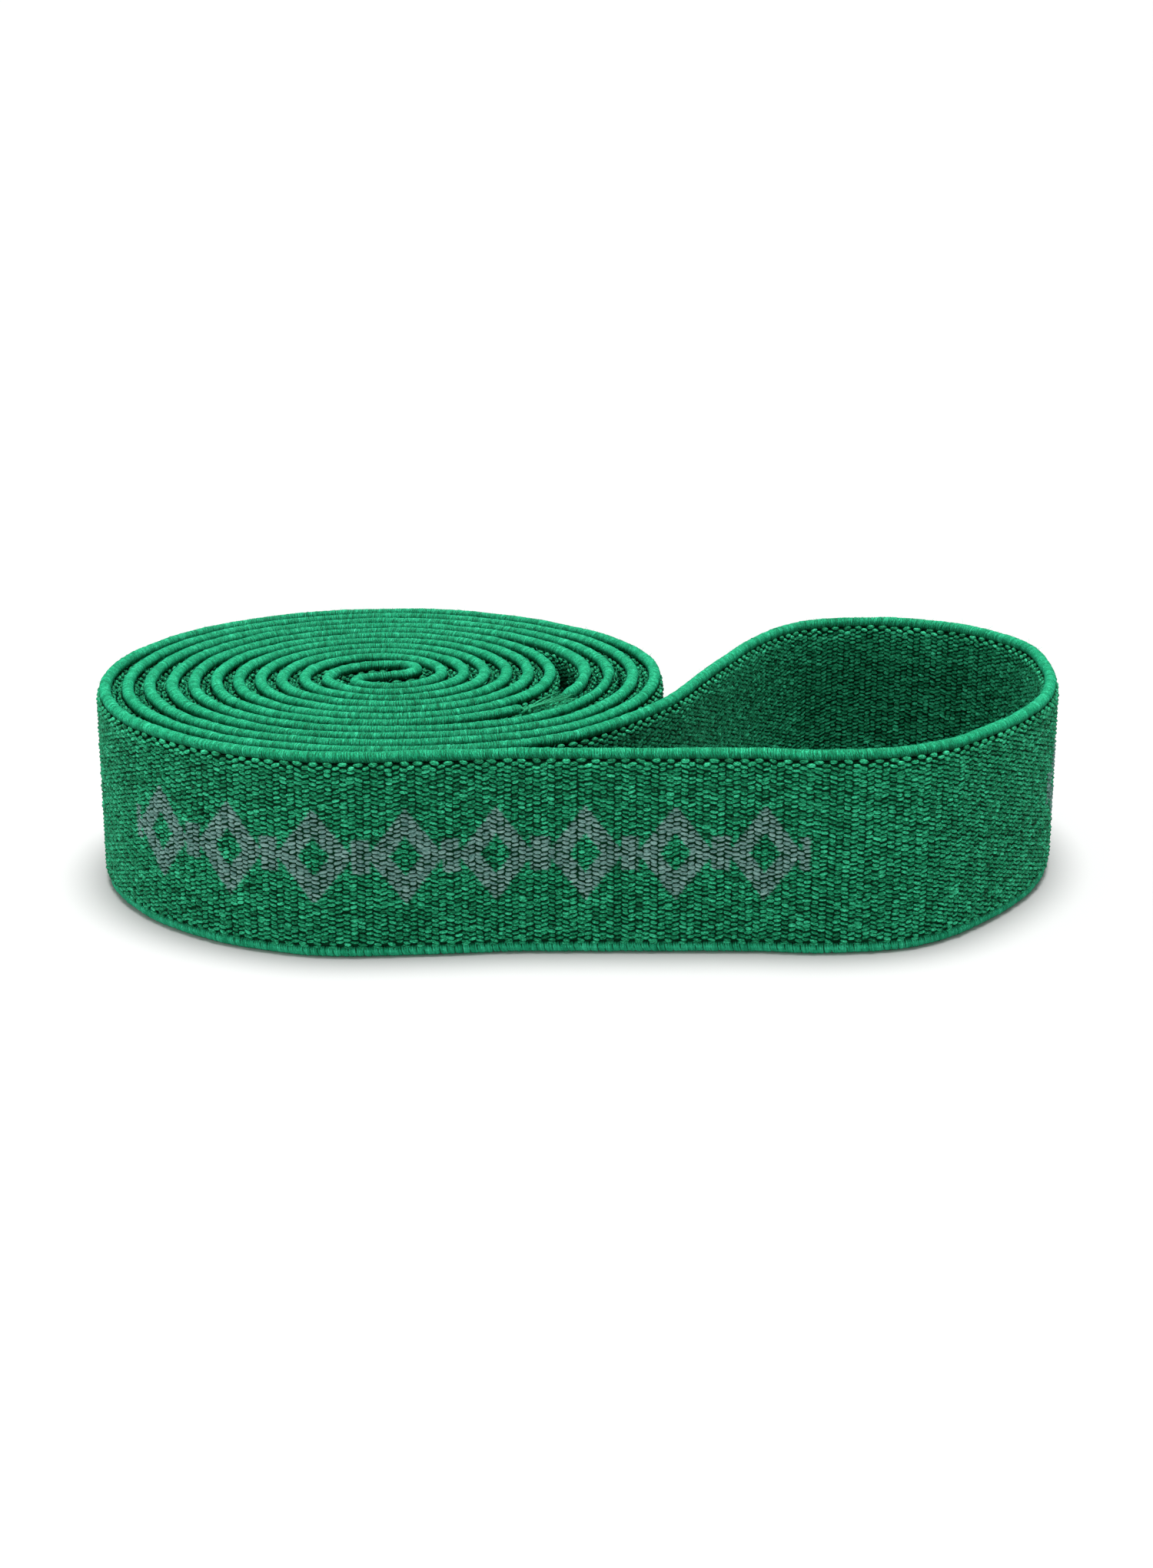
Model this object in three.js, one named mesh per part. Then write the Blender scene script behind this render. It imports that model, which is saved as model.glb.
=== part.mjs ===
// Woven elastic exercise band: one endless strap, pressed flat into a double strap, rolled up from
// its folded end and stood on edge, with the open end of the loop beside the roll. Millimetres, +Z up.
//
// The strap is followed once round from the seam: outward along the inner strand of the double strap,
// round the open end loop, back inward along the outer strand, through the folded core, and outward
// again to the seam, where the two cut ends lap. The left-hand side of that path is the outside of
// the endless loop.

import * as THREE from 'three';

// Strap section
const strapWidth = 31;
const strapThickness = 2.9;
const beadSize = 1.9;
const faceThickness = 0.9;
const rubberThickness = 0.5;
const rubberGroups = 3;
const rubberGroupGap = 0.5;
const clearance = 0.3;
const rubberMargin = 0.6;

// Roll: a double spiral about the origin. Angles count up along the strap, 360 for each turn, and
// an angle's direction is the same in every turn, so neighbouring layers share their section planes.
const layerPairPitch = 6.87;
const strandPitch = 3.47;
const radiusAtZero = 5.61;
const stationStep = 20;
const outerStrandFirst = 200;
const outerStrandLast = 2060;
const innerStrandFirst = 280;
const innerStrandLast = 2100;

// Folded core: the strap turns back to the right, then to the left, inside the first turn
const foldTurn = { x: 1.9, y: 3.2, radius: 3.1 };
const returnTurn = { x: -1.6, y: -3.9, radius: 2.8 };
const turnStep = 45;
const upperArm = [[-8.3, 0.3], [-6.3, 3.6], [-2.6, 5.8]];
const armSteps = 6;

// Lap seam, on the inner strand: the head end starts where the tail end's bead stops
const lapFirst = 1400;
const lapLast = 1440;
const lapSqueeze = 0.75;
const seamPush = 2.48;
const seamPushGrowth = 0.45;
const pushRise = 45;
const pushHold = 40;
const pushFall = 70;

// Open end loop: knots of its curve after it leaves the roll, and the straight run along the front
const loopKnots = [
  [29, -34.9], [34.2, -29.9], [44, -16], [52.2, 3.5], [61.3, 23.3], [69, 32.4], [81.9, 35.6],
  [95.5, 30.4], [103.6, 20.4], [105.8, 5], [102.3, -13.3], [91.5, -30.6], [80, -40.7], [67, -43.2],
];
const loopSteps = 40;
const straightRun = { fromX: 56, toX: 22, y: -42.5 };
const straightSteps = 2;
const rejoinKnot = [9, -43.8];
const rejoinSteps = 4;

// Seam threads
const threadThickness = 0.3;
const threadGap = 0.25;
const rowPlaces = [0.3, 0.7];
const zigzags = 10;
const zigzagReach = 1.0;
const zigzagThread = 0.5;
const rowMargin = 1.2;
const knotRadius = 0.85;
const knotTurn = 2.6;
const looseThreads = 4;
const looseThreadSize = 0.32;
// Points of a loose thread: degrees past the lap's start, space between threads, height over the plies
const looseRoute = [[5, 0.62, 0.5], [9, 0.9, 0.9], [13, 1.2, 0.8], [17, 1.5, 0.3]];
const looseDrift = 0.075;

const finishes = {
  weave: { color: 0x1c8257, roughness: 0.85 },
  bead: { color: 0x32be82, roughness: 0.75 },
  rubber: { color: 0xd9cfae, roughness: 0.6 },
  thread: { color: 0x5fb895, roughness: 0.7 },
};

const radians = (degrees) => THREE.MathUtils.degToRad(degrees);
const smooth = (value) => THREE.MathUtils.smoothstep(value, 0, 1);

// How far the lap's extra thickness pushes out every layer that lies outside it
function pushAt(angle) {
  const beyond = angle - (lapFirst - pushRise);
  if (beyond < 0) return 0;
  const turn = Math.floor(beyond / 360);
  const along = beyond - 360 * turn;
  const window = smooth(along / pushRise) * (1 - smooth((along - pushRise - pushHold) / pushFall));
  return (seamPush + seamPushGrowth * turn) * window;
}

function squeezeAt(angle) {
  return angle >= lapFirst && angle <= lapLast ? lapSqueeze : 1;
}

// One section plane of the strap: its centre, the direction of the loop's outside, and how far the
// strap is pressed thinner there
function station(x, y, nx, ny, squeeze = 1) {
  return { x, y, nx, ny, squeeze };
}

function spiralStation(angle, radius, outside, squeeze) {
  const [c, s] = [Math.cos(radians(angle)), Math.sin(radians(angle))];
  return station(radius * c, radius * s, outside * c, outside * s, squeeze);
}

function outerStrandStation(angle) {
  return spiralStation(angle, radiusAtZero + layerPairPitch * angle / 360 + pushAt(angle), 1, 1);
}

function innerStrandStation(angle, pushed) {
  const radius = radiusAtZero + layerPairPitch * angle / 360 - strandPitch;
  return spiralStation(angle, radius + (pushed ? pushAt(angle) : 0), -1, squeezeAt(angle));
}

function angles(first, last) {
  const count = Math.round(Math.abs(last - first) / stationStep);
  return Array.from({ length: count + 1 }, (_, i) => first + Math.sign(last - first) * stationStep * i);
}

// Stations along a smooth curve through the knots. The first and last knots only give the curve its
// direction at its ends, and the knots next to them are left out: they are stations already.
function splineStations(knots, steps) {
  const points = knots.map(([x, y]) => new THREE.Vector3(x, y, 0));
  const curve = new THREE.CatmullRomCurve3(points, false, 'centripetal');
  const spans = knots.length - 1;
  const stations = [];
  for (let i = 1; i < steps; i += 1) {
    const t = (1 + (spans - 2) * i / steps) / spans;
    const point = curve.getPoint(t);
    const tangent = curve.getTangent(t);
    stations.push(station(point.x, point.y, -tangent.y, tangent.x));
  }
  return stations;
}

function arcStations(turn, fromAngle, toAngle, outside) {
  const count = Math.round(Math.abs(toAngle - fromAngle) / turnStep);
  return Array.from({ length: count + 1 }, (_, i) => {
    const a = radians(fromAngle + (toAngle - fromAngle) * i / count);
    const [c, s] = [Math.cos(a), Math.sin(a)];
    return station(turn.x + turn.radius * c, turn.y + turn.radius * s, outside * c, outside * s);
  });
}

const place = ({ x, y }) => [x, y];

function endLoopStations() {
  const leaving = [innerStrandLast - stationStep, innerStrandLast].map((a) => innerStrandStation(a, true));
  const joining = [outerStrandLast, outerStrandLast - stationStep].map(outerStrandStation);
  const { fromX, toX, y } = straightRun;
  const straight = Array.from({ length: straightSteps + 1 }, (_, i) =>
    station(fromX + (toX - fromX) * i / straightSteps, y, 0, -1));
  const ends = [straight[0], straight[straightSteps]].map(place);
  return [
    ...splineStations([...leaving.map(place), ...loopKnots, ends[0], place(straight[1])], loopSteps),
    ...straight,
    ...splineStations([place(straight[1]), ends[1], rejoinKnot, ...joining.map(place)], rejoinSteps),
  ];
}

function coreStations() {
  const joining = [outerStrandFirst + stationStep, outerStrandFirst].map(outerStrandStation).map(place);
  const fold = arcStations(foldTurn, 90, -90, 1);
  return [
    ...splineStations([...joining, ...upperArm, place(fold[0]), place(fold[1])], armSteps),
    ...fold,
    ...arcStations(returnTurn, 90, 270, -1),
  ];
}

// The whole strap, from the head end to the tail end
function strapStations() {
  return [
    ...angles(lapFirst, innerStrandLast).map((a) => innerStrandStation(a, true)),
    ...endLoopStations(),
    ...angles(outerStrandLast, outerStrandFirst).map(outerStrandStation),
    ...coreStations(),
    ...angles(innerStrandFirst, lapLast).map((a) => innerStrandStation(a, false)),
  ];
}

// A closed solid swept through the stations. The section's corners are [outward offset, height],
// counter-clockwise with the loop's outside to the right and up to the top.
function sweep(stations, section) {
  const corners = section.length;
  const positions = stations.flatMap(({ x, y, nx, ny, squeeze }) =>
    section.flatMap(([offset, z]) => [x + nx * offset * squeeze, y + ny * offset * squeeze, z]));
  const index = [];
  for (let j = 0; j < stations.length - 1; j += 1) {
    for (let i = 0; i < corners; i += 1) {
      const [a, b] = [j * corners + i, j * corners + (i + 1) % corners];
      index.push(a, b, b + corners, a, b + corners, a + corners);
    }
  }
  const last = (stations.length - 1) * corners;
  for (let i = 1; i < corners - 1; i += 1) {
    index.push(0, i + 1, i, last, last + i, last + i + 1);
  }
  const geometry = new THREE.BufferGeometry();
  geometry.setAttribute('position', new THREE.Float32BufferAttribute(positions, 3));
  geometry.setIndex(index);
  geometry.computeVertexNormals();
  return geometry;
}

function block(inside, outside, low, high) {
  return [[inside, low], [outside, low], [outside, high], [inside, high]];
}

function mesh(name, geometry, finish) {
  const material = new THREE.MeshStandardMaterial({ ...finish, metalness: 0 });
  const result = new THREE.Mesh(geometry, material);
  result.name = name;
  return result;
}

function facePlies(stations) {
  const half = strapThickness / 2;
  const low = beadSize + clearance;
  const high = strapWidth - low;
  const outer = sweep(stations, block(half - faceThickness, half, low, high));
  const inner = sweep(stations, block(-half, faceThickness - half, low, high));
  return [mesh('face_ply_outer', outer, finishes.weave), mesh('face_ply_inner', inner, finishes.weave)];
}

// The rubber threads lie side by side between the face plies, here as flat groups of them
function rubberThreads(stations) {
  const low = beadSize + clearance + rubberMargin;
  const room = strapWidth - 2 * low + rubberGroupGap;
  const half = rubberThickness / 2;
  return ['lower', 'middle', 'upper'].map((level, i) => {
    const from = low + room * i / rubberGroups;
    const to = low + room * (i + 1) / rubberGroups - rubberGroupGap;
    return mesh(`rubber_threads_${level}`, sweep(stations, block(-half, half, from, to)), finishes.rubber);
  });
}

// The rolled edges stop short in the lap: the tail's at its start, the head's half-way along it
function edgeBeads(stations) {
  const beaded = stations.slice(1, stations.length - (lapLast - lapFirst) / stationStep);
  const half = beadSize / 2;
  return [['lower', 0], ['upper', strapWidth - beadSize]].map(([level, z]) =>
    mesh(`edge_bead_${level}`, sweep(beaded, block(-half, half, z, z + beadSize)), finishes.bead));
}

// Outline of one zigzag row of stitches, x across the row and y along it
function zigzagShape() {
  const length = strapWidth - 2 * (beadSize + rowMargin);
  const side = (shift) => Array.from({ length: zigzags + 1 }, (_, i) =>
    new THREE.Vector2((i % 2 ? zigzagReach : -zigzagReach) + shift, length * i / zigzags));
  return new THREE.Shape([...side(zigzagThread / 2), ...side(-zigzagThread / 2).reverse()]);
}

// A row lies flat on one face of the lap, part of the way from one station to the next. It is made
// upright by the turn about X, and its thickness grows to the right of the strap's path.
function stitchRow(name, from, to, share, offset, gap) {
  const [a, b] = [from, to].map(({ x, y, nx, ny, squeeze }) =>
    new THREE.Vector2(x + nx * offset * squeeze, y + ny * offset * squeeze));
  const along = b.clone().sub(a);
  const right = new THREE.Vector2(along.y, -along.x).normalize();
  const point = a.lerp(b, share).addScaledVector(right, gap);
  const geometry = new THREE.ExtrudeGeometry(zigzagShape(), { depth: threadThickness, bevelEnabled: false });
  const row = mesh(name, geometry, finishes.thread);
  row.rotation.set(Math.PI / 2, 0, along.angle(), 'ZXY');
  row.position.set(point.x, point.y, beadSize + rowMargin);
  return row;
}

// Each row has a needle thread on the head's free face and a bobbin thread on the tail's
function seamRows() {
  const lap = angles(lapFirst, lapLast);
  const head = lap.map((a) => innerStrandStation(a, true));
  const tail = lap.map((a) => innerStrandStation(a, false));
  const half = strapThickness / 2;
  const rows = [];
  for (let i = 0; i < lap.length - 1; i += 1) {
    for (const share of rowPlaces) {
      const number = rows.length / 2 + 1;
      const underside = -(threadGap + threadThickness);
      rows.push(stitchRow(`seam_row_${number}_needle_thread`, head[i], head[i + 1], share, -half, threadGap));
      rows.push(stitchRow(`seam_row_${number}_bobbin_thread`, tail[i], tail[i + 1], share, half, underside));
    }
  }
  return rows;
}

// The tail bead's leftover threads: a knot where the bead stops, and loose ends fanned over the lap
function seamTrim() {
  const top = strapWidth - beadSize;
  const start = innerStrandStation(lapFirst, false);
  const radius = Math.hypot(start.x, start.y);
  const spot = (angle, r, z) => [r * Math.cos(radians(angle)), r * Math.sin(radians(angle)), z];
  const knot = mesh('seam_knot', new THREE.SphereGeometry(knotRadius, 10, 6), finishes.thread);
  knot.position.set(...spot(lapFirst + knotTurn, radius, top + knotRadius + clearance));
  const threads = Array.from({ length: looseThreads }, (_, i) => {
    const spread = i - (looseThreads - 1) / 2;
    const route = looseRoute.map(([turn, gap, lift]) =>
      spot(lapFirst + turn, radius + looseDrift * (turn - looseRoute[0][0]) + spread * gap, top + lift));
    return mesh(`loose_thread_${i + 1}`, squareRod(route, looseThreadSize), finishes.thread);
  });
  return [knot, ...threads];
}

// A thin square rod through points that all lie nearly level
function squareRod(route, size) {
  const stations = route.map(([x, y, z], i) => {
    const [before, after] = [route[Math.max(i - 1, 0)], route[Math.min(i + 1, route.length - 1)]];
    const along = new THREE.Vector2(after[0] - before[0], after[1] - before[1]).normalize();
    return { ...station(x, y, -along.y, along.x), z };
  });
  const geometry = sweep(stations, block(-size / 2, size / 2, 0, size));
  const positions = geometry.getAttribute('position');
  for (let i = 0; i < positions.count; i += 1) {
    positions.setZ(i, positions.getZ(i) + stations[Math.floor(i / 4)].z);
  }
  return geometry;
}

// The origin of the part is at the middle of the underside of its box
function centred(pieces) {
  const inner = new THREE.Group();
  inner.add(...pieces);
  const box = new THREE.Box3().setFromObject(inner);
  inner.position.set(-(box.min.x + box.max.x) / 2, -(box.min.y + box.max.y) / 2, -box.min.z);
  const part = new THREE.Group();
  part.add(inner);
  return part;
}

const stations = strapStations();

export default centred([
  ...facePlies(stations),
  ...rubberThreads(stations),
  ...edgeBeads(stations),
  ...seamRows(),
  ...seamTrim(),
]);
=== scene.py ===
"""Looks of the rolled woven elastic band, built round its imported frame.

Lengths here are millimetres, in a plan whose origin is the middle of the roll, and piece() turns
them into metres in the part's frame. A place on the strap is (s, offset, z): s runs once round the
strap from its head end to its tail end, offset is towards the outside of the endless loop, and z is
up across the strap's width.
"""

import math

import bpy
import numpy as np
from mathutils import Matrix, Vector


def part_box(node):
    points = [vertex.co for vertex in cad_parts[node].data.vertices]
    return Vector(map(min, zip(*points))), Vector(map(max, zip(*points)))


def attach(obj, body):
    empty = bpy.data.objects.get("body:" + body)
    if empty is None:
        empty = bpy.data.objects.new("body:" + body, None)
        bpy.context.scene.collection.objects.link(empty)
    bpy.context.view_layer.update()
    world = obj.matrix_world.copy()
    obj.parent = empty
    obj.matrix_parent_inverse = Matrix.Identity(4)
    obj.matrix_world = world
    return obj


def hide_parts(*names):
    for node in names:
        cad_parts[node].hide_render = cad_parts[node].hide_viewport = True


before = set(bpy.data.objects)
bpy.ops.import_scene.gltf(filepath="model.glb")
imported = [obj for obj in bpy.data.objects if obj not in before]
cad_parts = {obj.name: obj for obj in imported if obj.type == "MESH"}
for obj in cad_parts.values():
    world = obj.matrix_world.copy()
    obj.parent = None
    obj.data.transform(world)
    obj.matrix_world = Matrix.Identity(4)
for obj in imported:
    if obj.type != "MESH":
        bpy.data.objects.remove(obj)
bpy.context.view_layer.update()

MM = 0.001
rng = np.random.default_rng(686)

# ---------------------------------------------------------------- strap and roll, as the frame has them
STRAP_WIDTH = 31.0
STRAP_HALF = 1.45
BEAD_RADIUS = 0.84
LAYER_PAIR_PITCH = 6.87
STRAND_PITCH = 3.47
RADIUS_AT_ZERO = 5.61
# Turning angles along the two strands of the spiral, in degrees, 360 for each turn
OUTER_FIRST, OUTER_LAST = 200, 2060
INNER_FIRST, INNER_LAST = 280, 2100
JOIN_TURN = 20
# The folded core: turns as (x, y, radius), and the knots that lead into the first one
FOLD_TURN = (1.9, 3.2, 3.1)
RETURN_TURN = (-1.6, -3.9, 2.8)
UPPER_ARM = [(-8.3, 0.3), (-6.3, 3.6), (-2.6, 5.8)]
# The lap seam, and how its extra thickness pushes out the layers outside it
LAP_FIRST, LAP_LAST = 1400, 1440
LAP_SQUEEZE = 0.75
SEAM_PUSH, SEAM_PUSH_GROWTH = 2.48, 0.45
PUSH_RISE, PUSH_HOLD, PUSH_FALL = 45, 40, 70
# The open end loop, and the straight run along the front
LOOP_KNOTS = [
    (29, -34.9), (34.2, -29.9), (44, -16), (52.2, 3.5), (61.3, 23.3), (69, 32.4), (81.9, 35.6),
    (95.5, 30.4), (103.6, 20.4), (105.8, 5), (102.3, -13.3), (91.5, -30.6), (80, -40.7), (67, -43.2),
]
RUN_FROM, RUN_MIDDLE, RUN_TO = (56, -42.5), (39, -42.5), (22, -42.5)
REJOIN_KNOT = (9, -43.8)
HEAD_BEAD_STARTS, TAIL_BEAD_STOPS = 1417, 1400
# How far the upper edge sags towards the two cut ends, and over what length
HEAD_DROP, TAIL_DROP, DROP_LENGTH = 0.5, 2.4, 7.0
# How finely the path is drawn, in degrees, points and millimetres
SPIRAL_STEP = 0.5
ARC_STEP = 3
ARC_LEAD = 5
RUN_SAMPLES = 60
PATH_SMOOTHING, SQUEEZE_SMOOTHING = 1.0, 0.8
# Turning angles of the CAD section planes that touch the part's left and back sides, and how many
# degrees the second one is from straight back
LEFTMOST_TURN, HINDMOST_TURN = 1980, 1900
HINDMOST_LEAN = 10


def smoothstep(x):
    x = np.clip(x, 0, 1)
    return x * x * (3 - 2 * x)


def push_at(angle):
    """How far the lap's extra thickness pushes out the layers outside it."""
    beyond = angle - (LAP_FIRST - PUSH_RISE)
    turn = np.floor(beyond / 360)
    along = beyond - 360 * turn
    falling = smoothstep((along - PUSH_RISE - PUSH_HOLD) / PUSH_FALL)
    window = smoothstep(along / PUSH_RISE) * (1 - falling)
    return np.where(beyond < 0, 0, (SEAM_PUSH + SEAM_PUSH_GROWTH * turn) * window)


def polar(angle, radius):
    a = np.radians(angle)
    return np.stack([radius * np.cos(a), radius * np.sin(a)], axis=-1)


def outer_strand(angle):
    angle = np.asarray(angle, float)
    return polar(angle, RADIUS_AT_ZERO + LAYER_PAIR_PITCH * angle / 360 + push_at(angle))


def inner_strand(angle, pushed):
    angle = np.asarray(angle, float)
    radius = RADIUS_AT_ZERO + LAYER_PAIR_PITCH * angle / 360 - STRAND_PITCH
    return polar(angle, radius + (push_at(angle) if pushed else 0))


def spline(knots, samples=60):
    """A centripetal Catmull-Rom curve; the first and last knots only give it its direction."""
    p = np.array(knots, float)
    t = np.linspace(0, 1, samples, endpoint=False)[:, None]
    spans = []
    for a, b, c, d in zip(p, p[1:], p[2:], p[3:]):
        ab, bc, cd = (math.sqrt(np.linalg.norm(v)) for v in (b - a, c - b, d - c))
        start = bc * ((b - a) / ab - (c - a) / (ab + bc) + (c - b) / bc)
        end = bc * ((c - b) / bc - (d - b) / (bc + cd) + (d - c) / cd)
        square = 3 * (c - b) - 2 * start - end
        cube = 2 * (b - c) + start + end
        spans.append(b + start * t + square * t**2 + cube * t**3)
    return np.concatenate(spans)


def arc(turn, start, stop):
    x, y, radius = turn
    angles = np.arange(start, stop, math.copysign(ARC_STEP, stop - start))
    return np.array([x, y]) + polar(angles, radius)


def strap_legs():
    """The strap's centre line in named legs, with the turning angle along those that spiral."""
    head = np.arange(LAP_FIRST, INNER_LAST, SPIRAL_STEP)
    back_in = np.arange(OUTER_LAST, OUTER_FIRST, -SPIRAL_STEP)
    tail = np.arange(INNER_FIRST, LAP_LAST + SPIRAL_STEP / 2, SPIRAL_STEP)
    leaving = [inner_strand(INNER_LAST - JOIN_TURN, True), inner_strand(INNER_LAST, True)]
    joining = [outer_strand(OUTER_LAST), outer_strand(OUTER_LAST - JOIN_TURN)]
    core_in = [outer_strand(OUTER_FIRST + JOIN_TURN), outer_strand(OUTER_FIRST)]
    fold, back = arc(FOLD_TURN, 90, -90), arc(RETURN_TURN, 90, 270)
    run = np.linspace(RUN_FROM, RUN_TO, RUN_SAMPLES, endpoint=False)
    return [
        ("head", inner_strand(head, True), head),
        ("loop", spline([*leaving, *LOOP_KNOTS, RUN_FROM, RUN_MIDDLE]), None),
        ("run", run, None),
        ("rejoin", spline([RUN_MIDDLE, RUN_TO, REJOIN_KNOT, *joining]), None),
        ("outer", outer_strand(back_in), back_in),
        ("arm", spline([*core_in, *UPPER_ARM, fold[0], fold[ARC_LEAD]]), None),
        ("fold", fold, None),
        ("return", back, None),
        ("tail", inner_strand(tail, False), tail),
    ]


def smoothed(values, reach):
    """values, at even steps, averaged over about reach steps each way; the ends keep their slope."""
    width = int(3 * reach)
    weights = np.exp(-0.5 * (np.arange(-width, width + 1) / reach) ** 2)
    before = 2 * values[0] - values[width:0:-1]
    after = 2 * values[-1] - values[-2 : -width - 2 : -1]
    return np.convolve(np.concatenate([before, values, after]), weights / weights.sum(), "valid")


class Strap:
    """The strap's centre line at even steps, and where its landmarks are along it."""

    STEP = 0.1

    def __init__(self):
        legs = strap_legs()
        points = np.concatenate([leg for _, leg, _ in legs])
        squeeze = np.concatenate([
            np.where((angle >= LAP_FIRST) & (angle <= LAP_LAST), LAP_SQUEEZE, 1.0)
            if angle is not None else np.ones(len(leg)) for _, leg, angle in legs
        ])
        rough = np.concatenate([[0], np.cumsum(np.linalg.norm(np.diff(points, axis=0), axis=1))])
        starts = np.cumsum([0] + [len(leg) for _, leg, _ in legs])
        self.legs = {
            name: (rough[a:b], angle) for (name, _, angle), a, b in zip(legs, starts, starts[1:])
        }
        even = np.arange(0, rough[-1], self.STEP)
        self.x, self.y = (
            smoothed(np.interp(even, rough, points[:, k]), PATH_SMOOTHING / self.STEP) for k in (0, 1)
        )
        self.squeeze = smoothed(np.interp(even, rough, squeeze), SQUEEZE_SMOOTHING / self.STEP)
        tangent = np.stack([np.gradient(self.x), np.gradient(self.y)])
        self.tx, self.ty = tangent / np.linalg.norm(tangent, axis=0)
        self.s = even
        self.length = even[-1]

    def at_angle(self, leg, angle):
        along, angles = self.legs[leg]
        order = np.argsort(angles)
        return float(np.interp(angle, angles[order], along[order]))

    def leg_start(self, leg):
        return float(self.legs[leg][0][0])

    def place(self, s, offset, z):
        """Plan points, in millimetres, of places on the strap. offset is squeezed in the lap."""
        s = np.asarray(s, float)
        tables = (self.x, self.y, self.tx, self.ty, self.squeeze)
        x, y, tx, ty, squeeze = (np.interp(s, self.s, table) for table in tables)
        beyond = s - np.clip(s, 0, self.length)
        offset = offset * squeeze
        z = np.broadcast_to(z, x.shape)
        drop = HEAD_DROP * np.exp(-np.clip(s, 0, None) / DROP_LENGTH)
        drop = drop + TAIL_DROP * np.exp(-np.clip(self.length - s, 0, None) / DROP_LENGTH)
        z = z - drop * (z / STRAP_WIDTH) ** 3
        return np.stack([x + tx * beyond - ty * offset, y + ty * beyond + tx * offset, z], axis=-1)


strap = Strap()


def outside_radius(turn):
    """The radius of the outer strand's outside at a turning angle."""
    return RADIUS_AT_ZERO + LAYER_PAIR_PITCH * turn / 360 + STRAP_HALF


def roll_origin():
    """The middle of the roll in the part's frame, in millimetres, from the outer ply's CAD box."""
    low, high = (np.array(corner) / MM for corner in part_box("face_ply_outer"))
    left = outside_radius(LEFTMOST_TURN)
    back = outside_radius(HINDMOST_TURN) * math.cos(math.radians(HINDMOST_LEAN))
    return np.array([low[0] + left, high[1] - back, 0.0])


ROLL = roll_origin()

# ---------------------------------------------------------------- mesh building


def piece(name, points, faces, material, node_names, attributes=None):
    """A piece from plan points in millimetres and arrays of faces, riding on the band's one body."""
    mesh = bpy.data.meshes.new(name)
    points = (np.asarray(points, float).reshape(-1, 3) + ROLL) * MM
    mesh.vertices.add(len(points))
    mesh.vertices.foreach_set("co", points.ravel())
    faces = [f for f in faces if len(f)]
    corners = np.concatenate([np.asarray(f).ravel() for f in faces])
    sizes = np.concatenate([np.full(len(f), f.shape[1]) for f in faces])
    mesh.loops.add(len(corners))
    mesh.loops.foreach_set("vertex_index", corners.astype(np.int32))
    mesh.polygons.add(len(sizes))
    starts = np.cumsum(sizes) - sizes
    mesh.polygons.foreach_set("loop_start", starts.astype(np.int32))
    mesh.polygons.foreach_set("use_smooth", np.ones(len(sizes), bool))
    for attribute, values in (attributes or {}).items():
        values = np.asarray(values, float)
        kind, field = ("FLOAT", "value") if values.ndim == 1 else ("FLOAT_VECTOR", "vector")
        mesh.attributes.new(attribute, kind, "POINT").data.foreach_set(field, values.ravel())
    mesh.update(calc_edges=True)
    mesh.validate()
    mesh.materials.append(material)
    obj = bpy.data.objects.new(name, mesh)
    bpy.context.scene.collection.objects.link(obj)
    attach(obj, "root")
    if node_names:
        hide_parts(*node_names)
    return obj


def tube_faces(rings, around, closed_ends=True):
    """Quads between rings of points, and a fan of triangles over each end."""
    ring = np.arange(rings - 1)[:, None] * around
    i = np.arange(around)[None, :]
    j = (i + 1) % around
    quads = np.stack([ring + i, ring + j, ring + around + j, ring + around + i], axis=-1).reshape(-1, 4)
    if not closed_ends:
        return [quads]
    k = np.arange(1, around - 1)
    last = (rings - 1) * around
    first_cap = np.stack([np.zeros_like(k), k + 1, k], axis=-1)
    last_cap = np.stack([np.full_like(k, last), last + k, last + k + 1], axis=-1)
    return [quads, np.concatenate([first_cap, last_cap])]


# ---------------------------------------------------------------- materials


def linear(r, g, b):
    """A colour given as 0 to 255 on screen, as Blender's linear RGBA."""
    channels = [c / 255 for c in (r, g, b)]
    return tuple(c / 12.92 if c <= 0.04045 else ((c + 0.055) / 1.055) ** 2.4 for c in channels) + (1.0,)


# A Mix node's sockets for colours
MIX_SHARE, MIX_FIRST, MIX_SECOND, MIX_RESULT = 0, 6, 7, 2


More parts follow.
